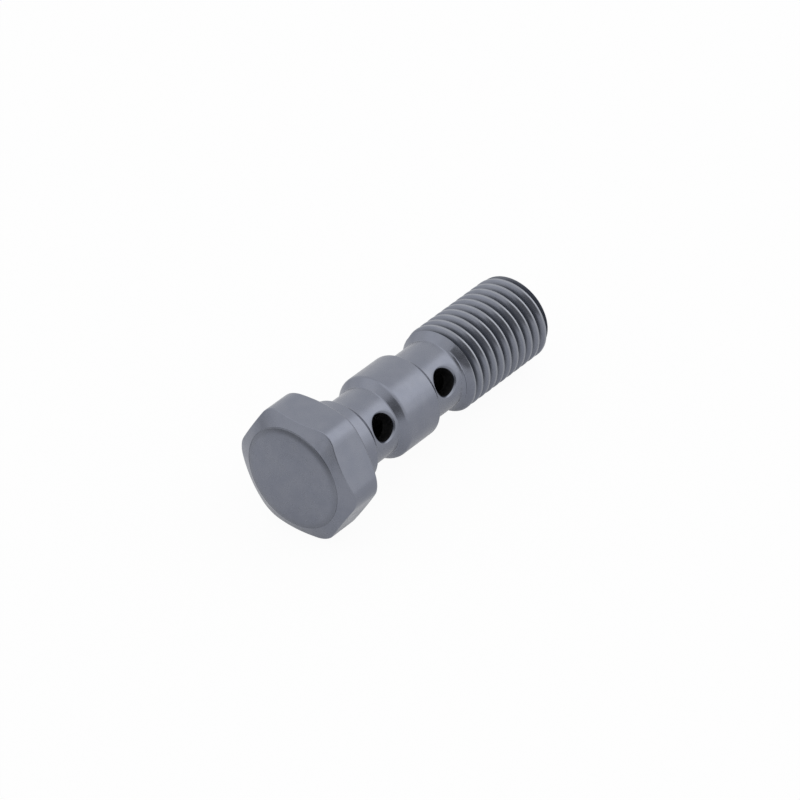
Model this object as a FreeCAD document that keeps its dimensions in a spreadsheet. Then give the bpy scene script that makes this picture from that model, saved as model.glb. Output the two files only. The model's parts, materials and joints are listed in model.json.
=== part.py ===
import FreeCAD, Part
import Sketcher
import math
import os

# Double banjo bolt, M10 x 1.25, lying on one flat of its hexagon.
# Lengths are in millimetres. In the body's own axes the bolt runs along X:
# the face of the head is at X = 0 and the thread ends towards +X.
# The thread is left as a plain cylinder at its major diameter.

doc = FreeCAD.newDocument("banjo_bolt")

# Driving dimensions
driving = [
    ("across_flats", 14.0, "hexagon, flat to flat"),
    ("head_height", 5.2, "from the head's face to its seat"),
    ("head_corner_radius", 1.6, "the six long edges of the hexagon"),
    ("face_diameter", 11.8, "flat circle left on the head's face"),
    ("seat_diameter", 13.2, "flat circle left on the underside"),
    ("head_chamfer_angle", 30.0, "slope of both turned chamfers, in degrees"),
    ("face_edge_radius", 1.2, "soft edge round the face"),
    ("land_diameter", 9.8, "land under the head, and the collar"),
    ("land_length", 3.0, "from the seat to the first waist"),
    ("collar_length", 5.0, "between the two waists"),
    ("waist_diameter", 8.1, "necks that feed the two fittings"),
    ("flank_angle", 45.0, "slope of the waists' ends, in degrees"),
    ("cross_hole_diameter", 3.0, "passages through each neck"),
    ("first_neck_before", 0.45, "first neck, from its start to the hole"),
    ("first_neck_after", 0.35, "first neck, from the hole to its end"),
    ("second_neck_before", 0.35, "second neck, from its start to the hole"),
    ("second_neck_after", 0.85, "second neck, from the hole to its end"),
    ("thread_diameter", 10.0, "major diameter"),
    ("thread_length", 13.5, "full diameter, with the end chamfer"),
    ("end_chamfer", 0.5, "lead-in at the thread's end"),
    ("seat_fillet_radius", 0.5, "corner between the seat and the land"),
    ("neck_foot_radius", 0.3, "tool radius at both ends of each neck"),
    ("front_rim_radius", 0.6, "rim of the collar that faces the head"),
    ("rear_rim_radius", 0.2, "rims of the land and the collar that face the thread"),
    ("bore_diameter", 4.5, "blind passage along the axis"),
    ("bore_past_hole", 0.3, "bore carried on past the first cross hole"),
    ("drill_point_angle", 118.0, "tip of the bore, in degrees"),
    ("mouth_diameter", 5.2, "countersink at the bore's mouth"),
    ("mouth_angle", 90.0, "the same countersink, in degrees"),
    ("cross_hole_turn", 60.0, "holes square to one flat, in degrees about the axis"),
    ("hole_edge_break", 0.2, "broken edge round each cross hole"),
]
sheet = doc.addObject("Spreadsheet::Sheet", "dimensions")
for row, (alias, value, meaning) in enumerate(driving, start=1):
    sheet.set("A%d" % row, alias)
    sheet.set("B%d" % row, str(value))
    sheet.set("C%d" % row, meaning)
    sheet.setAlias("B%d" % row, alias)
doc.recompute()


class Measure:
    """A length's present value, with the expression that keeps it bound to the sheet."""

    def __init__(self, value, expression):
        self.value = value
        self.expression = expression

    def __add__(self, other):
        return Measure(self.value + other.value, "(%s + %s)" % (self.expression, other.expression))

    def __sub__(self, other):
        return Measure(self.value - other.value, "(%s - %s)" % (self.expression, other.expression))


def size(alias):
    return float(sheet.get(alias))


def cell(alias):
    return "dimensions." + alias


def length(alias):
    return Measure(size(alias), cell(alias))


def half(alias):
    return Measure(size(alias) / 2, "%s / 2" % cell(alias))


def degrees(alias):
    return "(%s * 1 deg)" % cell(alias)


def across_slope(rise, alias):
    """How far a turned chamfer reaches in along the axis while it rises by that much."""
    slope = math.tan(math.radians(size(alias)))
    return Measure(rise.value * slope, "%s * tan%s" % (rise.expression, degrees(alias)))


def along_slope(rise, alias):
    """How far a flank runs along the axis while it rises by that much."""
    slope = math.tan(math.radians(size(alias)))
    return Measure(rise.value / slope, "%s / tan%s" % (rise.expression, degrees(alias)))


# Radii, and stations along the axis as measured from the head's face
face_radius = half("face_diameter")
seat_radius = half("seat_diameter")
land_radius = half("land_diameter")
neck_radius = half("waist_diameter")
thread_radius = half("thread_diameter")
bore_radius = half("bore_diameter")
hole_radius = half("cross_hole_diameter")
chamfer = length("end_chamfer")
land_flank = along_slope(land_radius - neck_radius, "flank_angle")
thread_flank = along_slope(thread_radius - neck_radius, "flank_angle")

seat = length("head_height")
land_end = seat + length("land_length")
first_neck_start = land_end + land_flank
first_hole = first_neck_start + length("first_neck_before") + hole_radius
first_neck_end = first_hole + hole_radius + length("first_neck_after")
collar_start = first_neck_end + land_flank
collar_end = collar_start + length("collar_length")
second_neck_start = collar_end + land_flank
second_hole = second_neck_start + length("second_neck_before") + hole_radius
second_neck_end = second_hole + hole_radius + length("second_neck_after")
thread_start = second_neck_end + thread_flank
bolt_end = thread_start + length("thread_length")

body = doc.addObject("PartDesign::Body", "banjo_bolt")
body.Label = "banjo_bolt"

# The sketcher's own numbers: the points of a line or circle, and the axes with the origin
START, END, CENTRE = range(1, 4)
Y_AXIS, X_AXIS = range(-2, 0)
ORIGIN = X_AXIS


def origin_feature(role):
    return [item for item in body.Origin.OriginFeatures if item.Role == role][0]


def new_sketch(name, plane):
    sketch = body.newObject("Sketcher::SketchObject", name)
    sketch.AttachmentSupport = [(origin_feature(plane), "")]
    sketch.MapMode = "FlatFace"
    return sketch


def relate(sketch, *constraint):
    return sketch.addConstraint(Sketcher.Constraint(*constraint))


def drive(sketch, name, measure, kind, *ends):
    """Adds a named dimension to a sketch and binds it to the sheet."""
    sketch.renameConstraint(relate(sketch, kind, *ends, measure.value), name)
    sketch.setExpression("Constraints." + name, measure.expression)


def draw_loop(sketch, points):
    """Draws a closed run of straight lines and returns the number of the first."""
    first = sketch.GeometryCount
    following = points[1:] + points[:1]
    for start, end in zip(points, following):
        sketch.addGeometry(Part.LineSegment(FreeCAD.Vector(*start, 0), FreeCAD.Vector(*end, 0)))
    for step in range(len(points)):
        relate(sketch, "Coincident", first + step, END, first + (step + 1) % len(points), START)
    return first


def draw_circle(sketch, place, radius, construction=False):
    circle = Part.Circle(FreeCAD.Vector(place, 0, 0), FreeCAD.Vector(0, 0, 1), radius)
    return sketch.addGeometry(circle, construction)


def edge_names(shape, wanted):
    numbered = enumerate(shape.Edges, start=1)
    return ["Edge%d" % number for number, edge in numbered if not edge.Degenerated and wanted(edge)]


# Head: a hexagon with one flat down, its corners on a construction circle
sides = 6
side_turn = 360 / sides
to_corner = math.cos(math.radians(side_turn / 2))
corner = Measure(size("across_flats") / 2 / to_corner,
                 "%s / 2 / cos(%g deg)" % (cell("across_flats"), side_turn / 2))

hexagon = new_sketch("hexagon", "YZ_Plane")
corner_turns = [math.radians(side_turn * step) for step in range(sides)]
draw_loop(hexagon, [(corner.value * math.cos(turn), corner.value * math.sin(turn)) for turn in corner_turns])
corner_circle = draw_circle(hexagon, 0, corner.value, construction=True)
relate(hexagon, "Coincident", corner_circle, CENTRE, ORIGIN, START)
for side in range(sides):
    relate(hexagon, "PointOnObject", side, START, corner_circle)
for side in range(1, sides):
    relate(hexagon, "Equal", 0, side)
lower_flat = 2 * sides // 3
relate(hexagon, "Horizontal", lower_flat)
drive(hexagon, "flat", half("across_flats"), "DistanceY", lower_flat, START, ORIGIN, START)

head = body.newObject("PartDesign::Pad", "head")
head.Profile = hexagon
head.setExpression("Length", seat.expression)
doc.recompute()


def runs_along_axis(edge):
    return edge.BoundBox.XLength > edge.Length / 2


head_corners = body.newObject("PartDesign::Fillet", "head_corners")
head_corners.Base = (head, edge_names(head.Shape, runs_along_axis))
head_corners.setExpression("Radius", cell("head_corner_radius"))
doc.recompute()

# Cones turned on both ends of the head, outside the flat of the face and outside the seat
cones = new_sketch("head_cones", "XZ_Plane")

face_run = across_slope(corner - face_radius, "head_chamfer_angle")
face_upright = draw_loop(cones, [
    (0, face_radius.value),
    (0, corner.value),
    (face_run.value, corner.value),
])
face_outside = face_upright + 1
relate(cones, "PointOnObject", face_upright, START, Y_AXIS)
drive(cones, "face_run", face_run, "DistanceX", face_outside, START, face_outside, END)

seat_run = across_slope(corner - seat_radius, "head_chamfer_angle")
seat_upright = draw_loop(cones, [
    (seat.value, seat_radius.value),
    (seat.value, corner.value),
    (seat.value - seat_run.value, corner.value),
])
seat_outside = seat_upright + 1
drive(cones, "seat", seat, "DistanceX", ORIGIN, START, seat_upright, START)
drive(cones, "seat_run", seat_run, "DistanceX", seat_outside, END, seat_outside, START)

for name, upright, radius in (("face", face_upright, face_radius), ("seat", seat_upright, seat_radius)):
    relate(cones, "Vertical", upright)
    relate(cones, "Horizontal", upright + 1)
    drive(cones, name + "_flat", radius, "DistanceY", ORIGIN, START, upright, START)
    drive(cones, name + "_outside", corner, "DistanceY", ORIGIN, START, upright, END)

turned_head = body.newObject("PartDesign::Groove", "turned_head")
turned_head.Profile = cones
turned_head.ReferenceAxis = (cones, ["H_Axis"])
turned_head.Angle = 360
doc.recompute()


def is_ring(edge, place, radius):
    """True for a circle round the axis, at that place and of that radius."""
    ring = edge.Curve
    near = 1e-4
    return (isinstance(ring, Part.Circle)
            and math.hypot(ring.Center.y, ring.Center.z) < near
            and abs(ring.Center.x - place) < near
            and abs(ring.Radius - radius.value) < near)


def round_rings(name, base, radius_alias, rings):
    """Rounds circles round the axis, each given as its place and radius."""
    fillet = body.newObject("PartDesign::Fillet", name)
    fillet.Base = (base, edge_names(base.Shape, lambda edge: any(is_ring(edge, *ring) for ring in rings)))
    fillet.setExpression("Radius", cell(radius_alias))
    doc.recompute()
    return fillet


round_rings("face_edge", turned_head, "face_edge_radius", [(0, face_radius)])

# Shank: land, first waist, collar, second waist and thread, turned as one profile
profile = new_sketch("shank_profile", "XZ_Plane")
draw_loop(profile, [
    (seat.value, 0),
    (seat.value, land_radius.value),
    (land_end.value, land_radius.value),
    (first_neck_start.value, neck_radius.value),
    (first_neck_end.value, neck_radius.value),
    (collar_start.value, land_radius.value),
    (collar_end.value, land_radius.value),
    (second_neck_start.value, neck_radius.value),
    (second_neck_end.value, neck_radius.value),
    (thread_start.value, thread_radius.value),
    ((bolt_end - chamfer).value, thread_radius.value),
    (bolt_end.value, (thread_radius - chamfer).value),
    (bolt_end.value, 0),
])
(seat_line, land, land_rear, first_neck, collar_front, collar, collar_rear,
 second_neck, thread_front, thread, end_cone, end_line, axis_line) = range(profile.GeometryCount)
for line in (seat_line, end_line):
    relate(profile, "Vertical", line)
for line in (land, first_neck, collar, second_neck, thread):
    relate(profile, "Horizontal", line)
for line in (seat_line, axis_line):
    relate(profile, "PointOnObject", line, START, X_AXIS)
relate(profile, "Horizontal", land, END, collar, START)
relate(profile, "Horizontal", first_neck, END, second_neck, START)

drive(profile, "land_radius", land_radius, "DistanceY", ORIGIN, START, land, START)
drive(profile, "neck_radius", neck_radius, "DistanceY", ORIGIN, START, first_neck, START)
drive(profile, "thread_radius", thread_radius, "DistanceY", ORIGIN, START, thread, START)
drive(profile, "end_radius", thread_radius - chamfer, "DistanceY", ORIGIN, START, end_line, START)
for name, station, line in (
        ("seat", seat, seat_line),
        ("land_end", land_end, land_rear),
        ("first_neck_start", first_neck_start, first_neck),
        ("first_neck_end", first_neck_end, collar_front),
        ("collar_start", collar_start, collar),
        ("collar_end", collar_end, collar_rear),
        ("second_neck_start", second_neck_start, second_neck),
        ("second_neck_end", second_neck_end, thread_front),
        ("thread_start", thread_start, thread),
        ("chamfer_start", bolt_end - chamfer, end_cone),
        ("bolt_end", bolt_end, end_line)):
    drive(profile, name, station, "DistanceX", ORIGIN, START, line, START)

shank = body.newObject("PartDesign::Revolution", "shank")
shank.Profile = profile
shank.ReferenceAxis = (profile, ["H_Axis"])
shank.Angle = 360
doc.recompute()

neck_ends = (first_neck_start, first_neck_end, second_neck_start, second_neck_end)
neck_feet = round_rings("neck_feet", shank, "neck_foot_radius",
                        [(station.value, neck_radius) for station in neck_ends])
seat_fillet = round_rings("seat_fillet", neck_feet, "seat_fillet_radius", [(seat.value, land_radius)])
front_rim = round_rings("front_rim", seat_fillet, "front_rim_radius", [(collar_start.value, land_radius)])
round_rings("rear_rims", front_rim, "rear_rim_radius",
            [(station.value, land_radius) for station in (land_end, collar_end)])

# Blind passage drilled from the thread's end until it has just passed the first cross hole
bore_place = new_sketch("bore_place", "YZ_Plane")
bore_place.setExpression("AttachmentOffset.Base.z", "%s * 1 mm" % bolt_end.expression)
bore_circle = draw_circle(bore_place, 0, bore_radius.value)
relate(bore_place, "Coincident", bore_circle, CENTRE, ORIGIN, START)
drive(bore_place, "bore_diameter", length("bore_diameter"), "Diameter", bore_circle)
doc.recompute()

bore = body.newObject("PartDesign::Hole", "bore")
bore.Profile = bore_place
doc.recompute()
bore_floor = first_hole - hole_radius - length("bore_past_hole")
bore.DepthType = "Dimension"
bore.setExpression("Diameter", cell("bore_diameter"))
bore.setExpression("Depth", (bolt_end - bore_floor).expression)
bore.DrillPoint = "Angled"
bore.setExpression("DrillPointAngle", cell("drill_point_angle"))
bore.HoleCutType = "Countersink"
bore.HoleCutCustomValues = True
bore.setExpression("HoleCutDiameter", cell("mouth_diameter"))
bore.setExpression("HoleCutCountersinkAngle", cell("mouth_angle"))
doc.recompute()

# Cross holes, drilled right through each neck on a plane turned about the axis
hole_place = new_sketch("hole_place", "XY_Plane")
hole_place.AttachmentOffset = FreeCAD.Placement(
    FreeCAD.Vector(), FreeCAD.Rotation(FreeCAD.Vector(1, 0, 0), size("cross_hole_turn")))
hole_place.setExpression("AttachmentOffset.Rotation.Angle", degrees("cross_hole_turn"))
hole_circle = draw_circle(hole_place, first_hole.value, hole_radius.value)
relate(hole_place, "PointOnObject", hole_circle, CENTRE, X_AXIS)
drive(hole_place, "cross_hole_diameter", length("cross_hole_diameter"), "Diameter", hole_circle)
drive(hole_place, "first_hole", first_hole, "DistanceX", ORIGIN, START, hole_circle, CENTRE)

cross_hole = body.newObject("PartDesign::Pocket", "cross_hole")
cross_hole.Profile = hole_place
cross_hole.Type = "ThroughAll"
cross_hole.SideType = "Symmetric"
doc.recompute()

cross_holes = body.newObject("PartDesign::LinearPattern", "cross_holes")
cross_holes.Originals = [cross_hole]
cross_holes.Direction = (origin_feature("X_Axis"), [""])
cross_holes.Occurrences = 2
cross_holes.setExpression("Length", (second_hole - first_hole).expression)
body.Tip = cross_holes
doc.recompute()

hole_turn = math.radians(size("cross_hole_turn"))
hole_direction = FreeCAD.Vector(0, -math.sin(hole_turn), math.cos(hole_turn))
middle_of_wall = (neck_radius.value + bore_radius.value) / 2


def is_outer_mouth(edge):
    """True for the saddle-shaped edge where a cross hole leaves the neck."""
    samples = 7
    near = 1e-3
    points = edge.discretize(samples)
    inmost = min(math.hypot(point.y, point.z) for point in points)
    for station in (first_hole, second_hole):
        centre = FreeCAD.Vector(station.value, 0, 0)
        radii = [(point - centre).cross(hole_direction).Length for point in points]
        if inmost > middle_of_wall and all(abs(radius - hole_radius.value) < near for radius in radii):
            return True
    return False


hole_edges = body.newObject("PartDesign::Chamfer", "hole_edges")
hole_edges.Base = (cross_holes, edge_names(cross_holes.Shape, is_outer_mouth))
hole_edges.setExpression("Size", cell("hole_edge_break"))
body.Tip = hole_edges
doc.recompute()

# Rest: the lower flat's rear edge and the thread's end touch the ground, so the axis
# slopes down towards the thread. The origin is on the ground, under the middle of the bolt.
flat_radius = half("across_flats")
flat_rear = seat - across_slope(flat_radius - seat_radius, "head_chamfer_angle")
fall = flat_radius - thread_radius
reach = bolt_end - chamfer - flat_rear
rest_slope = "atan(%s / %s)" % (fall.expression, reach.expression)
raised_end = thread_radius - chamfer - face_radius
body.Placement = FreeCAD.Placement(FreeCAD.Vector(), FreeCAD.Rotation(FreeCAD.Vector(0, 1, 0), 1))
body.setExpression("Placement.Rotation.Angle", rest_slope)
body.setExpression("Placement.Base.x", "-(%s * cos(%s) + %s * sin(%s)) / 2 * 1 mm" % (
    bolt_end.expression, rest_slope, raised_end.expression, rest_slope))
body.setExpression("Placement.Base.z", "(%s * sin(%s) + %s * cos(%s)) * 1 mm" % (
    flat_rear.expression, rest_slope, flat_radius.expression, rest_slope))
doc.recompute()

for item in doc.Objects:
    if "Invalid" in item.State or "Error" in item.State:
        raise RuntimeError("%s failed: %s" % (item.Label, item.State))
if body.Shape.isNull() or not body.Shape.isValid() or len(body.Shape.Solids) != 1:
    raise RuntimeError("%s is not one valid solid" % body.Label)

os.makedirs("parts", exist_ok=True)
body.Shape.exportStep("parts/%s.step" % body.Label)
print("%s: %.2f mm3" % (body.Label, body.Shape.Volume))
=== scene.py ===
import json
import math

import bmesh
import bpy
from mathutils import Matrix, Vector, kdtree


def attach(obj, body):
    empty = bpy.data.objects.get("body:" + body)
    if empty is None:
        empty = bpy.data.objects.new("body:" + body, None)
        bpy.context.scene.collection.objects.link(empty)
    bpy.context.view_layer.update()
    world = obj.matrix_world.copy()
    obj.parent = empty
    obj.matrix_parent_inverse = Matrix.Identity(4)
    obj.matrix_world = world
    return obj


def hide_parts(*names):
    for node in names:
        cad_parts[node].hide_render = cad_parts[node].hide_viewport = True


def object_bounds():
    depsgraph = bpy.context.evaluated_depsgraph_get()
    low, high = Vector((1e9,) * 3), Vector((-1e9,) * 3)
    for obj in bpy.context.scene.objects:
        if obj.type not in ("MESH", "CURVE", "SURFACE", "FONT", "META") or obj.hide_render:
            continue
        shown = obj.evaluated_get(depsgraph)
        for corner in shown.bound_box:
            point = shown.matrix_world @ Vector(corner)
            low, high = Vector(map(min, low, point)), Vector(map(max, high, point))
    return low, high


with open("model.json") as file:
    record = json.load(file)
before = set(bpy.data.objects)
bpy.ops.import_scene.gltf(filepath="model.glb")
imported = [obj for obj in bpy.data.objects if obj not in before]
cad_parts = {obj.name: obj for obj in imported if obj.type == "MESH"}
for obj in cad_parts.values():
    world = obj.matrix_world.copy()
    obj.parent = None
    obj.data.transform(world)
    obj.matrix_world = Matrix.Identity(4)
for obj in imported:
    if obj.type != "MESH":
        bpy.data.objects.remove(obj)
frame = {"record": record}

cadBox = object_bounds()
mm = 0.001
weldGap = 0.0004 * mm            # points closer than this become one
mounts = {mount["name"]: mount for mount in frame["record"]["mounts"]}
print("frame loaded, the bolt is %.1f mm long" % ((cadBox[1].x - cadBox[0].x) / mm))


# Small helpers for modelling

def deselectAll():
    if bpy.context.object and bpy.context.object.mode != "OBJECT":
        bpy.ops.object.mode_set(mode="OBJECT")
    bpy.ops.object.select_all(action="DESELECT")


def makeActive(piece):
    deselectAll()
    bpy.context.view_layer.objects.active = piece
    piece.select_set(True)


def nameActive(name):
    piece = bpy.context.object
    piece.name = name
    piece.data.name = name
    return piece


def radiusOf(mountName):
    return mounts[mountName]["dims"]["r_mm"]


def roundedOutline(corners, arcStep):
    # corners are (station, radius, rounding), and a rounding of 0 leaves the corner sharp;
    # arcStep is the angle between two points of a rounding
    outline = []
    for place, (station, radius, rounding) in enumerate(corners):
        corner = Vector((station, radius))
        if not rounding:
            outline.append(corner)
            continue
        toBefore = (Vector(corners[place - 1][:2]) - corner).normalized()
        toAfter = (Vector(corners[place + 1][:2]) - corner).normalized()
        halfOpening = toBefore.angle(toAfter) / 2
        centre = corner + (toBefore + toAfter).normalized() * rounding / math.sin(halfOpening)
        first = corner + toBefore * rounding / math.tan(halfOpening) - centre
        last = corner + toAfter * rounding / math.tan(halfOpening) - centre
        sweep = math.atan2(first.x * last.y - first.y * last.x, first.dot(last))
        steps = max(2, round(abs(sweep) / arcStep))
        for step in range(steps + 1):
            turned = first.copy()
            turned.rotate(Matrix.Rotation(sweep * step / steps, 2))
            outline.append(centre + turned)
    return outline


def drawOutline(name, points):
    # one vertex, extruded from point to point in the XZ plane
    deselectAll()
    bpy.ops.mesh.primitive_plane_add(size=mm)
    piece = nameActive(name)
    bpy.ops.object.mode_set(mode="EDIT")
    bpy.ops.mesh.select_mode(type="VERT")
    bpy.ops.mesh.merge(type="CENTER")
    places = [Vector((point[0], 0, point[1])) * mm for point in points]
    bpy.ops.transform.translate(value=places[0])
    for before, after in zip(places, places[1:]):
        bpy.ops.mesh.extrude_vertices_move(TRANSFORM_OT_translate={"value": after - before})
    return piece


def closeMesh():
    # in edit mode: merges the doubles and turns every face outwards
    bpy.ops.mesh.select_all(action="SELECT")
    bpy.ops.mesh.remove_doubles(threshold=weldGap)
    bpy.ops.mesh.select_all(action="SELECT")
    bpy.ops.mesh.normals_make_consistent(inside=False)
    bpy.ops.object.mode_set(mode="OBJECT")


def turnSolid(name, points, facets):
    # a closed outline from the axis round to the axis, spun about the bolt's axis
    piece = drawOutline(name, points)
    bpy.ops.mesh.select_all(action="SELECT")
    bpy.ops.mesh.spin(steps=facets, angle=2 * math.pi, center=(0, 0, 0), axis=(1, 0, 0))
    closeMesh()
    return piece


def cutAway(piece, cutter):
    # takes the cutter's form out of the piece and throws the cutter away
    makeActive(piece)
    cut = piece.modifiers.new("difference", "BOOLEAN")
    cut.operation = "DIFFERENCE"
    cut.solver = "EXACT"
    cut.object = cutter
    bpy.ops.object.modifier_apply(modifier=cut.name)
    bpy.data.objects.remove(cutter)


# The bolt, modelled along X with the face of its head at the origin. Lengths are in millimetres.

bolt = {
    "acrossFlats": 14.0,
    "headHeight": 5.2,
    "longEdgeRound": 2.5,        # the six long edges of the hexagon
    "faceDiameter": 11.8,        # where the face meets the turned cone
    "crownWidth": 0.85,          # how far in from its edge the face starts to fall away
    "crownSlope": 19,            # degrees, how steeply it falls at its edge
    "lineWidth": 0.11,           # fine turned line between the face and the cone
    "lineDepth": 0.05,
    "frontConeSlope": 27,        # degrees
    "frontCrestRound": 0.17,     # where the flats run into the front cone
    "seatDiameter": 13.2,
    "rearConeSlope": 26,
    "rearCrestRound": 0.35,
    "seatEdgeRound": 0.12,
    "seatFillet": 0.5,           # between the seat and the land
    "landLength": 3.0,
    "collarLength": 5.0,
    "neckDiameter": 8.1,
    "flankSlope": 45,            # degrees, the ends of the necks
    "firstNeck": (0.45, 0.35),   # clear metal before and after its cross hole
    "secondNeck": (0.35, 0.85),
    "footRound": 0.3,            # where a flank meets its neck
    "frontRimRound": 0.6,        # the collar's rim that faces the head
    "rearRimRound": 0.2,         # the rims that face the thread
    "threadLength": 13.5,
    "endChamfer": 0.5,
    "softEdge": 0.06,            # every edge that looks sharp
    "arcStep": 9,                # degrees between two points of a rounding
    "facets": 240,               # round the bolt
    "smoothAngle": 32,           # degrees, up to which neighbouring faces are shaded as one
}
landRadius = radiusOf("first_fitting_land")
threadRadius = radiusOf("thread")
holeRadius = radiusOf("first_cross_hole")
boreRadius = radiusOf("bore")
neckRadius = bolt["neckDiameter"] / 2
flankSlope = math.tan(math.radians(bolt["flankSlope"]))
landFlank = (landRadius - neckRadius) / flankSlope
threadFlank = (threadRadius - neckRadius) / flankSlope

# Stations along the axis, from the face of the head
seat = bolt["headHeight"]
landEnd = seat + bolt["landLength"]
firstNeckStart = landEnd + landFlank
firstHole = firstNeckStart + bolt["firstNeck"][0] + holeRadius
firstNeckEnd = firstHole + holeRadius + bolt["firstNeck"][1]
collarStart = firstNeckEnd + landFlank
collarEnd = collarStart + bolt["collarLength"]
secondNeckStart = collarEnd + landFlank
secondHole = secondNeckStart + bolt["secondNeck"][0] + holeRadius
secondNeckEnd = secondHole + holeRadius + bolt["secondNeck"][1]
threadStart = secondNeckEnd + threadFlank
boltEnd = threadStart + bolt["threadLength"]


def reachAt(angle):
    # how far the rounded hexagon reaches from the axis, with one flat straight down
    flat = bolt["acrossFlats"] / 2
    rounding = bolt["longEdgeRound"]
    halfSide = math.radians(30)
    fromFlat = abs(math.radians((math.degrees(angle) + 30 + 90) % 60 - 30))
    if flat * math.tan(fromFlat) < (flat - rounding) * math.tan(halfSide):
        return flat / math.cos(fromFlat)
    roundCentre = (flat - rounding) / math.cos(halfSide)
    fromEdge = halfSide - fromFlat
    across = roundCentre * math.sin(fromEdge)
    return roundCentre * math.cos(fromEdge) + math.sqrt(rounding ** 2 - across ** 2)


def boltOutline(headReach):
    # half a section through the bolt, where its head reaches that far from the axis
    frontSlope = math.tan(math.radians(bolt["frontConeSlope"]))
    rearSlope = math.tan(math.radians(bolt["rearConeSlope"]))
    faceRadius = bolt["faceDiameter"] / 2
    seatRadius = bolt["seatDiameter"] / 2
    foot = bolt["footRound"]
    soft = bolt["softEdge"]

    # the face falls away along an arc, a touch smaller than its width so that it ends before the line
    crown = math.radians(bolt["crownSlope"])
    crownRound = bolt["crownWidth"] / math.sin(crown)
    crownFall = crownRound * (1 - math.cos(crown))
    halfLine = bolt["lineWidth"] / 2
    return roundedOutline([
        (0, 0, 0),
        (0, faceRadius - halfLine - crownFall / math.tan(crown), crownRound * 0.99),
        (crownFall, faceRadius - halfLine, 0),
        (crownFall + bolt["lineDepth"], faceRadius, 0),
        (crownFall + halfLine * frontSlope, faceRadius + halfLine, 0),
        (crownFall + (headReach - faceRadius) * frontSlope, headReach, bolt["frontCrestRound"]),
        (seat - (headReach - seatRadius) * rearSlope, headReach, bolt["rearCrestRound"]),
        (seat, seatRadius, bolt["seatEdgeRound"]),
        (seat, landRadius, bolt["seatFillet"]),
        (landEnd, landRadius, bolt["rearRimRound"]),
        (firstNeckStart, neckRadius, foot),
        (firstNeckEnd, neckRadius, foot),
        (collarStart, landRadius, bolt["frontRimRound"]),
        (collarEnd, landRadius, bolt["rearRimRound"]),
        (secondNeckStart, neckRadius, foot),
        (secondNeckEnd, neckRadius, foot),
        (threadStart, threadRadius, soft),
        (boltEnd - bolt["endChamfer"], threadRadius, soft),
        (boltEnd, threadRadius - bolt["endChamfer"], soft),
        (boltEnd, 0, 0),
    ], math.radians(bolt["arcStep"]))


def turnBlank():
    # the bolt without its thread, spun while its head is still round
    widest = boltOutline(reachAt(0))
    piece = turnSolid("bolt", widest, bolt["facets"])
    print("outline of %d points spun" % len(widest))

    # then every point of the head drops on to the hexagon; each section has as many points as the widest
    sections = {}
    finder = kdtree.KDTree(len(widest))
    for place, point in enumerate(widest):
        finder.insert((point.x, point.y, 0), place)
    finder.balance()
    for vertex in piece.data.vertices:
        if vertex.co.x > (seat + 0.001) * mm:
            continue
        angle = round(math.degrees(math.atan2(vertex.co.z, vertex.co.y)), 3)
        if angle not in sections:
            sections[angle] = boltOutline(reachAt(math.radians(angle)))
        place = finder.find((vertex.co.x / mm, math.hypot(vertex.co.y, vertex.co.z) / mm, 0))[1]
        point = sections[angle][place]
        turn = math.radians(angle)
        vertex.co = Vector((point.x, point.y * math.cos(turn), point.y * math.sin(turn))) * mm
    return piece


# The thread: one right-hand groove, cut with a V tool

thread = {
    "pitch": 1.25,
    "depth": 0.72,
    "rootFlat": 0.16,
    "rootEase": (0.02, 0.03),    # how far each corner of the root is eased, along and outwards
    "crestFlat": 0.17,
    "crestBreak": 0.05,          # depth of the small bevel at each side of a crest
    "crestBreakSlope": 1.3,      # its width for each millimetre of depth
    "toolClear": 0.03,           # how far the tool stands out of the metal
    "crestPlace": 24.58,         # station of a crest where the section's angle is crestTurn
    "crestTurn": 130,            # degrees from +Y towards +Z
    "turnsAhead": 3,             # the tool starts this many turns before that crest, clear of the metal
    "turns": 15,                 # and runs out through the end
}


def cutThread(piece):
    pitch = thread["pitch"]
    middle = thread["crestPlace"] + pitch * (0.5 - thread["turnsAhead"])
    rootRadius = threadRadius - thread["depth"]
    rootHalf = thread["rootFlat"] / 2
    mouthHalf = (pitch - thread["crestFlat"]) / 2
    easeAlong, easeOut = thread["rootEase"]
    breakDepth = thread["crestBreak"]
    breakSlope = thread["crestBreakSlope"]
    clear = thread["toolClear"]
    side = [                     # half of the tool: distance from its middle, and radius
        (rootHalf / 2, rootRadius),
        (rootHalf + easeAlong, rootRadius + easeOut),
        (mouthHalf - breakDepth * breakSlope, threadRadius - breakDepth),
        (mouthHalf + clear * breakSlope, threadRadius + clear),
    ]
    section = [(middle + x, r) for x, r in side] + [(middle - x, r) for x, r in reversed(side)]
    groove = drawOutline("groove", section + section[:1])
    closeMesh()
    makeActive(groove)
    sweep = groove.modifiers.new("sweep", "SCREW")
    sweep.axis = "X"
    sweep.angle = 2 * math.pi
    sweep.screw_offset = pitch * mm
    sweep.iterations = thread["turns"]
    sweep.steps = bolt["facets"]
    sweep.render_steps = bolt["facets"]
    bpy.ops.object.modifier_apply(modifier=sweep.name)

    # turned to its place round the bolt, and closed at both ends
    groove.rotation_euler = (math.radians(thread["crestTurn"] - 90), 0, 0)
    bpy.ops.object.transform_apply(location=True, rotation=True, scale=True)
    bpy.ops.object.mode_set(mode="EDIT")
    bpy.ops.mesh.select_all(action="SELECT")
    bpy.ops.mesh.fill_holes(sides=0)
    closeMesh()
    cutAway(piece, groove)


# The passages: a blind bore from the thread's end and two cross holes that break into it

passages = {
    "borePastHole": 0.3,         # how far the bore goes on past the first cross hole
    "drillPoint": 118,           # degrees
    "mouthDiameter": 5.2,
    "edgeBreak": 0.22,           # broken edge of each cross hole
    "edgeEase": 0.2,             # share of the break by which its own two edges are eased
    "drillClear": 1.0,           # how far the drill stands out of the end
    "facets": 96,
}


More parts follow.
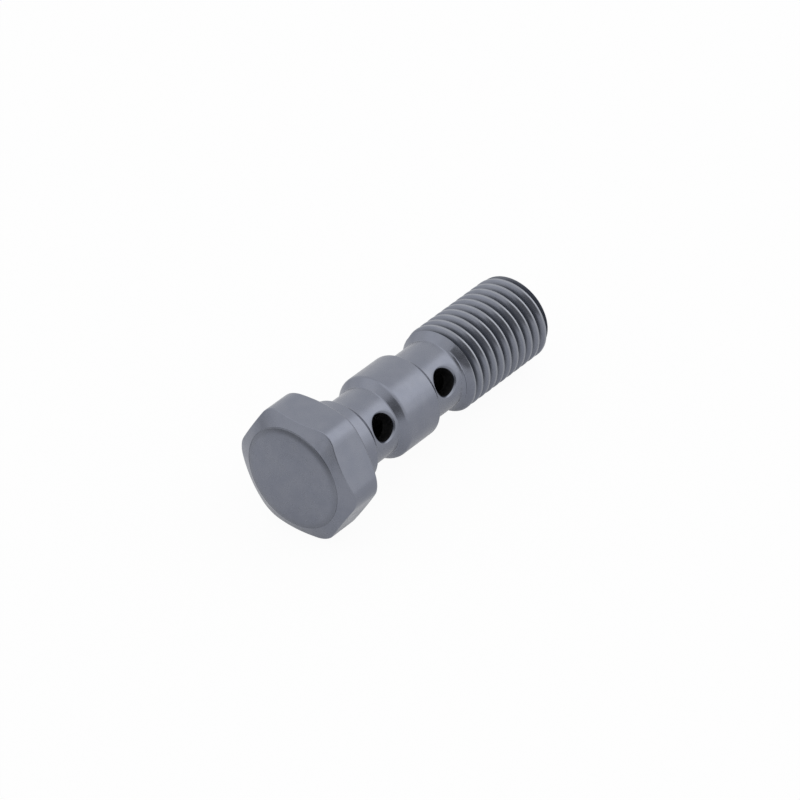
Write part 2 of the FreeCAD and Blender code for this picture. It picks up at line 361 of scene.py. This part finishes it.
def drillBore(piece):
    boreFloor = firstHole - holeRadius - passages["borePastHole"]
    tip = boreFloor - boreRadius / math.tan(math.radians(passages["drillPoint"] / 2))
    mouthRadius = passages["mouthDiameter"] / 2
    beyond = passages["drillClear"]
    drill = turnSolid("drill", [
        (tip, 0),
        (boreFloor, boreRadius),
        (boltEnd - (mouthRadius - boreRadius), boreRadius),
        (boltEnd + beyond, mouthRadius + beyond),
        (boltEnd + beyond, 0),
    ], passages["facets"])
    cutAway(piece, drill)


def drillAcross(piece, station):
    # each ring of the cutter is a radius in the hole and the radius about the bolt that it lies on
    edgeBreak = passages["edgeBreak"]
    ease = passages["edgeEase"] * edgeBreak
    mouth = [
        (holeRadius, neckRadius - edgeBreak - ease),
        (holeRadius + 0.4 * ease, neckRadius - edgeBreak),
        (holeRadius + ease, neckRadius - edgeBreak + ease),
        (holeRadius + edgeBreak - ease, neckRadius - ease),
        (holeRadius + edgeBreak, neckRadius - 0.4 * ease),
        (holeRadius + edgeBreak + ease, neckRadius + 0.1 * ease),
        (holeRadius + edgeBreak + ease, neckRadius + edgeBreak),
    ]
    rings = [(across, -about) for across, about in reversed(mouth)] + mouth
    farEnd = 2 * neckRadius * mm

    deselectAll()
    bpy.ops.mesh.primitive_circle_add(
        vertices=passages["facets"], radius=rings[0][0] * mm,
        location=(0, 0, -farEnd), rotation=(0, 0, math.pi / passages["facets"]))
    cutter = nameActive("crossDrill")
    bpy.ops.object.transform_apply(location=True, rotation=True, scale=True)
    bpy.ops.object.mode_set(mode="EDIT")
    bpy.ops.mesh.select_all(action="SELECT")
    level = -farEnd
    across = rings[0][0]
    for ringAcross, about in rings:
        bpy.ops.mesh.extrude_region_move(TRANSFORM_OT_translate={"value": (0, 0, about * mm - level)})
        wider = ringAcross / across
        bpy.ops.transform.resize(value=(wider, wider, 1), center_override=(0, 0, about * mm))
        for vertex in bmesh.from_edit_mesh(cutter.data).verts:
            if vertex.select:        # drops the ring on to the round of the bolt
                vertex.co.z = math.copysign(math.sqrt((about * mm) ** 2 - vertex.co.y ** 2), about)
        bmesh.update_edit_mesh(cutter.data)
        level = about * mm
        across = ringAcross
    bpy.ops.mesh.extrude_region_move(TRANSFORM_OT_translate={"value": (0, 0, farEnd - level)})
    for vertex in bmesh.from_edit_mesh(cutter.data).verts:
        if vertex.select:
            vertex.co.z = farEnd
    bmesh.update_edit_mesh(cutter.data)
    bpy.ops.mesh.select_all(action="SELECT")
    bpy.ops.mesh.fill_holes(sides=0)
    closeMesh()

    # turned to the way that the record gives for the cross holes
    holeWay = boltToRow.to_3x3().inverted() @ Vector(mounts["first_cross_hole"]["axis"])
    cutter.rotation_euler = (math.atan2(-holeWay.y, holeWay.z), 0, 0)
    cutter.location = (station * mm, 0, 0)
    makeActive(cutter)
    bpy.ops.object.transform_apply(location=True, rotation=True, scale=True)
    cutAway(piece, cutter)


# Where the bolt lies: its axis and its first cross hole are stated in the record
alongBolt = Vector(mounts["thread"]["axis"]).normalized()
sideways = Vector((0, 1, 0))
upward = alongBolt.cross(sideways)
faceCentre = Vector(mounts["first_cross_hole"]["pos_m"]) - alongBolt * firstHole * mm
boltToRow = Matrix((alongBolt, sideways, upward)).transposed().to_4x4()
boltToRow.translation = faceCentre

piece = turnBlank()
print("blank turned, %d faces" % len(piece.data.polygons))
drillBore(piece)
drillAcross(piece, firstHole)
drillAcross(piece, secondHole)
print("passages drilled, %d faces" % len(piece.data.polygons))
cutThread(piece)
print("thread cut, %d faces" % len(piece.data.polygons))

piece.name = "boltBody"
piece.data.name = "boltBody"
piece.matrix_world = boltToRow
makeActive(piece)
bpy.ops.object.transform_apply(location=True, rotation=True, scale=True)
bpy.ops.object.shade_smooth_by_angle(angle=math.radians(bolt["smoothAngle"]))
evenNormals = piece.modifiers.new("evenNormals", "WEIGHTED_NORMAL")
evenNormals.keep_sharp = True
evenNormals.weight = 50
bpy.ops.object.modifier_apply(modifier=evenNormals.name)
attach(piece, "root")
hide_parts("banjo_bolt")


# Materials

metal = {
    "colour": (0.205, 0.218, 0.262, 1),
    "paleColour": (0.222, 0.234, 0.276, 1),    # the other end of its slow mottling
    "wornColour": (0.300, 0.312, 0.345, 1),    # crests of the thread, lighter as wear and as a painted highlight
    "grimeColour": (0.128, 0.136, 0.156, 1),   # painted shade in the grooves, on the end's chamfer and in the face's line
    "insideColour": (0.050, 0.050, 0.052, 1),  # painted shade in the bore and cross holes
    "roughness": 0.25,
    "roughnessSpread": 0.08,
    "grooveRoughness": 0.14,     # added in the grooves
    "insideRoughness": 0.3,      # added in the bore and cross holes
    # patches, grains and lines in a millimetre
    "mottling": 0.55,
    "roughPatches": 1.265,
    "grain": 14,
    "turningLines": 9,
    "linesOnFaces": 0.8,         # how close they lie on the flat faces, where 1 is as close as along the bolt
    "noiseRange": (0.3, 0.7),    # part of a noise that is spread from none to full
    "wearRange": (0.25, 0.65),   # the same for the wear and painted highlight on the crests, and its least share
    "leastWear": 0.3,
    # heights and places in millimetres
    "lineHeight": 0.0018,
    "grainHeight": 0.0005,
    "threadFade": (-0.25, 0.10),     # from the thread's start, where its wear and painted highlight on the crests and its painted shade in the grooves come in
    "grooveDepths": (0.62, 0.12),    # below the crests, from full painted shade to none
    "crestDepths": (0.10, 0.02),     # below the crests, from no wear and painted highlight to full
    "lastWear": (0.95, 0.75),        # before the bolt's end, where the crests' wear and painted highlight stop
    "endGrimePlace": (0.62, 0.42),   # before the bolt's end, where the painted shade on its chamfer comes in
    "endGrime": 0.8,
    # painted shade in the fine line round the face
    "lineGrime": 0.4,
    "lineReach": 0.088,              # how far it spreads to both sides of the line
    "nearLineGrime": 0.35,           # painted shade on the face beside the line
    "nearLineReach": 0.75,
    "lineEdge": 0.05,                # over which they fade
    "faceDepth": (0.35, 0.45),       # behind the face, where they stop
    "insideDepths": (0.45, 0.12),    # below the necks, from full to none
    "insideStart": (1.5, 2.0),       # behind the face
    "insideEnd": (0.5, 0.15),        # before the bolt's end
}


def makeGunmetal():
    material = bpy.data.materials.new("gunmetal")
    material.use_nodes = True
    nodes = material.node_tree.nodes
    links = material.node_tree.links
    shader = nodes["Principled BSDF"]
    shader.inputs["Metallic"].default_value = 1

    def addMath(operation, first, second):
        # each input is a socket or a plain number
        node = nodes.new("ShaderNodeMath")
        node.operation = operation
        for socket, value in zip(node.inputs, (first, second)):
            if isinstance(value, bpy.types.NodeSocket):
                links.new(value, socket)
            else:
                socket.default_value = value
        return node.outputs["Value"]

    def addRamp(value, low, high, atLow, atHigh):
        node = nodes.new("ShaderNodeMapRange")
        node.interpolation_type = "SMOOTHSTEP"
        node.inputs["From Min"].default_value = low
        node.inputs["From Max"].default_value = high
        node.inputs["To Min"].default_value = atLow
        node.inputs["To Max"].default_value = atHigh
        links.new(value, node.inputs["Value"])
        return node.outputs["Result"]

    def addNoise(scale, detail, vector=None, alongLine=None):
        node = nodes.new("ShaderNodeTexNoise")
        node.inputs["Scale"].default_value = scale
        node.inputs["Detail"].default_value = detail
        if alongLine is None:
            links.new(vector, node.inputs["Vector"])
        else:
            node.noise_dimensions = "1D"
            links.new(alongLine, node.inputs["W"])
        return node.outputs["Fac"]

    def addMix(share, first, second):
        node = nodes.new("ShaderNodeMix")
        node.data_type = "RGBA"
        links.new(share, node.inputs["Factor"])
        for socket, value in ((node.inputs["A"], first), (node.inputs["B"], second)):
            if isinstance(value, bpy.types.NodeSocket):
                links.new(value, socket)
            else:
                socket.default_value = value
        return node.outputs["Result"]

    # Millimetres along the bolt and out from its axis
    rowToBolt = boltToRow.inverted()
    place = nodes.new("ShaderNodeTexCoord")
    along = nodes.new("ShaderNodeMapping")
    along.inputs["Scale"].default_value = (1 / mm, 1 / mm, 1 / mm)
    along.inputs["Rotation"].default_value = rowToBolt.to_euler()
    along.inputs["Location"].default_value = rowToBolt.translation / mm
    parts = nodes.new("ShaderNodeSeparateXYZ")
    across = nodes.new("ShaderNodeCombineXYZ")
    length = nodes.new("ShaderNodeVectorMath")
    length.operation = "LENGTH"
    links.new(place.outputs["Object"], along.inputs["Vector"])
    links.new(along.outputs["Vector"], parts.inputs["Vector"])
    links.new(parts.outputs["Y"], across.inputs["Y"])
    links.new(parts.outputs["Z"], across.inputs["Z"])
    links.new(across.outputs["Vector"], length.inputs[0])
    position = along.outputs["Vector"]
    station = parts.outputs["X"]
    radius = length.outputs["Value"]

    def addPlace(value, middle, offsets, atLow, atHigh):
        # a ramp between two offsets from the middle
        return addRamp(value, middle + offsets[0], middle + offsets[1], atLow, atHigh)

    def below(name):
        # depths in the dictionary as offsets
        return [-depth for depth in metal[name]]

    # Where the grooves and the crests of the thread are: painted shade in the grooves, wear and a painted
    # highlight on the crests
    onThread = addPlace(station, threadStart, metal["threadFade"], 0, 1)
    groove = addMath("MULTIPLY", onThread, addPlace(radius, threadRadius, below("grooveDepths"), 1, 0))
    wearAndHighlightPart = addMath("MULTIPLY", onThread, addPlace(station, boltEnd, below("lastWear"), 1, 0))
    crest = addMath("MULTIPLY", wearAndHighlightPart, addPlace(radius, threadRadius, below("crestDepths"), 0, 1))
    # painted shade on the chamfer at the bolt's end
    atEnd = addPlace(station, boltEnd, below("endGrimePlace"), 0, metal["endGrime"])

    # Painted shade on the line round the face and, fainter, on the face beside it
    lineStart = bolt["faceDiameter"] / 2 - metal["lineReach"]
    lineEnd = bolt["faceDiameter"] / 2 + metal["lineReach"]
    lineEdge = metal["lineEdge"]
    onLine = addPlace(radius, lineStart, (0, lineEdge), 0, metal["lineGrime"])
    nearLine = addPlace(radius, lineStart, (-metal["nearLineReach"], lineEdge), 0, metal["nearLineGrime"])
    withinLine = addPlace(radius, lineEnd, (-lineEdge, 0), 1, 0)
    atFace = addPlace(station, 0, metal["faceDepth"], 1, 0)
    lineZone = addMath("MULTIPLY", withinLine, atFace)
    faceLineShade = addMath("MULTIPLY", addMath("MAXIMUM", onLine, nearLine), lineZone)

    # Where the bore and the cross holes are, which get painted shade
    behindFace = addPlace(station, 0, metal["insideStart"], 0, 1)
    beforeEnd = addPlace(station, boltEnd, below("insideEnd"), 1, 0)
    deep = addPlace(radius, neckRadius, below("insideDepths"), 1, 0)
    inside = addMath("MULTIPLY", deep, addMath("MULTIPLY", behindFace, beforeEnd))

    # Colour: slow mottling, crests lighter as wear and a painted highlight, painted shade in the grooves, on
    # the end and at the face's line, and painted shade darkening the insides
    mottling = addRamp(addNoise(metal["mottling"], 4, position), *metal["noiseRange"], 0, 1)
    grain = addNoise(metal["grain"], 3, position)
    colour = addMix(mottling, metal["colour"], metal["paleColour"])
    wearAndHighlight = addMath("MULTIPLY", crest, addRamp(grain, *metal["wearRange"], metal["leastWear"], 1))
    colour = addMix(wearAndHighlight, colour, metal["wornColour"])
    # painted shade in the grooves, on the end's chamfer and at the face's line
    paintedShade = addMath("MAXIMUM", groove, addMath("MAXIMUM", atEnd, faceLineShade))
    colour = addMix(paintedShade, colour, metal["grimeColour"])
    colour = addMix(inside, colour, metal["insideColour"])
    links.new(colour, shader.inputs["Base Color"])

    # Roughness: finer and coarser patches, duller in the grooves
    patches = addNoise(metal["roughPatches"], 5, position)
    smoothest = metal["roughness"] - metal["roughnessSpread"] / 2
    roughest = metal["roughness"] + metal["roughnessSpread"] / 2
    spread = addRamp(patches, *metal["noiseRange"], smoothest, roughest)
    dullGroove = addMath("MULTIPLY", groove, metal["grooveRoughness"])
    dullInside = addMath("MULTIPLY", inside, metal["insideRoughness"])
    roughness = addMath("ADD", addMath("ADD", spread, dullGroove), dullInside)
    links.new(roughness, shader.inputs["Roughness"])

    # Height: lines left by the lathe, and a fine grain
    turned = addMath("ADD", station, addMath("MULTIPLY", radius, metal["linesOnFaces"]))
    lathe = addNoise(metal["turningLines"], 2, alongLine=turned)
    height = addMath("ADD", addMath("MULTIPLY", lathe, metal["lineHeight"]),
                     addMath("MULTIPLY", grain, metal["grainHeight"]))
    bump = nodes.new("ShaderNodeBump")
    bump.inputs["Strength"].default_value = 1
    bump.inputs["Distance"].default_value = mm
    links.new(height, bump.inputs["Height"])
    links.new(bump.outputs["Normal"], shader.inputs["Normal"])
    return material


piece.data.materials.clear()
piece.data.materials.append(makeGunmetal())
print("materials made")


# Studio: floor, world, lights and camera

studio = {
    "floorSize": 4.0,
    "floorColour": (0.86, 0.86, 0.87, 1),
    "floorRoughness": 0.9,
    "whiteShare": 0.95,          # how much of the floor the camera sees as plain white
    "mirroredShare": 0.35,       # the same for reflections
    "surroundings": 0.80,        # brightness of the world, which the camera and reflections see as 1
    # name, direction from the bolt, distance and size in metres, brightness
    "lights": [
        ("rightWindow", (0.58, -0.54, 0.61), 0.6, 0.74, 0.26),
        ("windowCore", (0.66, -0.44, 0.61), 0.6, 0.42, 0.28),
        ("leftSky", (-0.35, 0.61, 0.71), 0.6, 0.46, 0.16),
        ("overhead", (0.05, -0.05, 1.0), 0.6, 0.50, 0.30),
    ],
    # name, centre, the way it faces, size and soft edges in metres, brightness
    "cards": [
        ("cardBehindCamera", (-0.496, -0.270, 0.254), (0.80, 0.435, -0.41), (0.60, 0.56),
         (0.09, 0.09), 0.25),
        # a dark card lying on the floor at the left, seen only in reflections: painted shade on the floor
        # there
        ("tableAtLeft", (-0.228, 0.037, 0.001), (0, 0, 1), (0.40, 0.098), (0.03, 0.01), 0.42),
    ],
    "cameraPlace": (-0.269538, -0.220470, 0.290212),
    "cameraTurn": (50.711, 1.202, -51.596),   # degrees
    "lens": 190.1,
}


def makeFloor():
    # paper that keeps the bolt's shadow, mixed with plain white for the camera and for reflections
    deselectAll()
    bpy.ops.mesh.primitive_plane_add(size=studio["floorSize"], location=(0, 0, cadBox[0].z))
    floor = nameActive("floor")
    material = bpy.data.materials.new("floorPaper")
    material.use_nodes = True
    nodes = material.node_tree.nodes
    links = material.node_tree.links
    paper = nodes["Principled BSDF"]
    paper.inputs["Base Color"].default_value = studio["floorColour"]
    paper.inputs["Roughness"].default_value = studio["floorRoughness"]
    white = nodes.new("ShaderNodeEmission")
    white.inputs["Color"].default_value = (1, 1, 1, 1)
    rays = nodes.new("ShaderNodeLightPath")
    mirrored = nodes.new("ShaderNodeMath")
    mirrored.operation = "MAXIMUM"
    links.new(rays.outputs["Is Glossy Ray"], mirrored.inputs[0])
    links.new(rays.outputs["Is Transmission Ray"], mirrored.inputs[1])
    seen = nodes.new("ShaderNodeMath")
    seen.operation = "MULTIPLY"
    seen.inputs[1].default_value = studio["whiteShare"]
    links.new(rays.outputs["Is Camera Ray"], seen.inputs[0])
    share = nodes.new("ShaderNodeMath")
    share.operation = "MULTIPLY_ADD"
    share.inputs[1].default_value = studio["mirroredShare"]
    links.new(mirrored.outputs[0], share.inputs[0])
    links.new(seen.outputs[0], share.inputs[2])
    mix = nodes.new("ShaderNodeMixShader")
    links.new(share.outputs[0], mix.inputs["Fac"])
    links.new(paper.outputs[0], mix.inputs[1])
    links.new(white.outputs[0], mix.inputs[2])
    links.new(mix.outputs[0], nodes["Material Output"].inputs["Surface"])
    floor.data.materials.append(material)


def makeWorld():
    world = bpy.data.worlds.new("studioWorld")
    bpy.context.scene.world = world
    world.use_nodes = True
    nodes = world.node_tree.nodes
    links = world.node_tree.links
    background = nodes["Background"]
    background.inputs["Color"].default_value = (1, 1, 1, 1)
    rays = nodes.new("ShaderNodeLightPath")
    seen = rays.outputs["Is Camera Ray"]
    for kind in ("Is Glossy Ray", "Is Transmission Ray"):
        either = nodes.new("ShaderNodeMath")
        either.operation = "MAXIMUM"
        links.new(seen, either.inputs[0])
        links.new(rays.outputs[kind], either.inputs[1])
        seen = either.outputs[0]
    strength = nodes.new("ShaderNodeMapRange")
    strength.inputs["To Min"].default_value = studio["surroundings"]
    strength.inputs["To Max"].default_value = 1
    links.new(seen, strength.inputs["Value"])
    links.new(strength.outputs["Result"], background.inputs["Strength"])


def makeLights():
    # round lamps; a brightness of 1 lights the metal as a white wall would
    for name, direction, distance, width, brightness in studio["lights"]:
        toLight = Vector(direction).normalized()
        bpy.ops.object.light_add(type="AREA", location=toLight * distance)
        lamp = nameActive(name)
        lamp.rotation_euler = toLight.to_track_quat("Z", "Y").to_euler()
        lamp.data.shape = "DISK"
        lamp.data.size = width
        lamp.data.energy = brightness * math.pi * math.pi * (width / 2) ** 2
        lamp.visible_camera = False


def makeDarkCard(name, centre, facing, size, softEdges, brightness):
    # a card that only the metal sees, and that fades out at its edges
    deselectAll()
    bpy.ops.mesh.primitive_plane_add(
        size=1, location=centre, rotation=Vector(facing).to_track_quat("Z", "Y").to_euler())
    card = nameActive(name)
    card.scale = (*size, 1)
    bpy.ops.object.transform_apply(location=False, rotation=False, scale=True)
    card.visible_camera = False
    card.visible_diffuse = False
    card.visible_shadow = False
    material = bpy.data.materials.new(name)
    material.use_nodes = True
    nodes = material.node_tree.nodes
    links = material.node_tree.links
    nodes.remove(nodes["Principled BSDF"])
    place = nodes.new("ShaderNodeTexCoord")
    parts = nodes.new("ShaderNodeSeparateXYZ")
    links.new(place.outputs["Object"], parts.inputs["Vector"])
    masks = []
    for axis, width, softEdge in zip("XY", size, softEdges):
        far = nodes.new("ShaderNodeMath")
        far.operation = "ABSOLUTE"
        links.new(parts.outputs[axis], far.inputs[0])
        edge = nodes.new("ShaderNodeMapRange")
        edge.interpolation_type = "SMOOTHSTEP"
        edge.inputs["From Min"].default_value = width / 2 - softEdge
        edge.inputs["From Max"].default_value = width / 2
        edge.inputs["To Min"].default_value = 1
        edge.inputs["To Max"].default_value = 0
        links.new(far.outputs[0], edge.inputs["Value"])
        masks.append(edge.outputs["Result"])
    both = nodes.new("ShaderNodeMath")
    both.operation = "MULTIPLY"
    links.new(masks[0], both.inputs[0])
    links.new(masks[1], both.inputs[1])
    clear = nodes.new("ShaderNodeBsdfTransparent")
    dim = nodes.new("ShaderNodeEmission")
    dim.inputs["Strength"].default_value = brightness
    mix = nodes.new("ShaderNodeMixShader")
    links.new(both.outputs[0], mix.inputs["Fac"])
    links.new(clear.outputs[0], mix.inputs[1])
    links.new(dim.outputs[0], mix.inputs[2])
    links.new(mix.outputs[0], nodes["Material Output"].inputs["Surface"])
    card.data.materials.append(material)


def makeCamera():
    turns = [math.radians(turn) for turn in studio["cameraTurn"]]
    bpy.ops.object.camera_add(location=studio["cameraPlace"], rotation=turns)
    camera = nameActive("camera")
    camera.data.lens = studio["lens"]
    bpy.context.scene.camera = camera


makeFloor()
makeWorld()
makeLights()
for card in studio["cards"]:
    makeDarkCard(*card)
makeCamera()
bpy.context.scene.view_settings.view_transform = "Standard"
print("studio made")
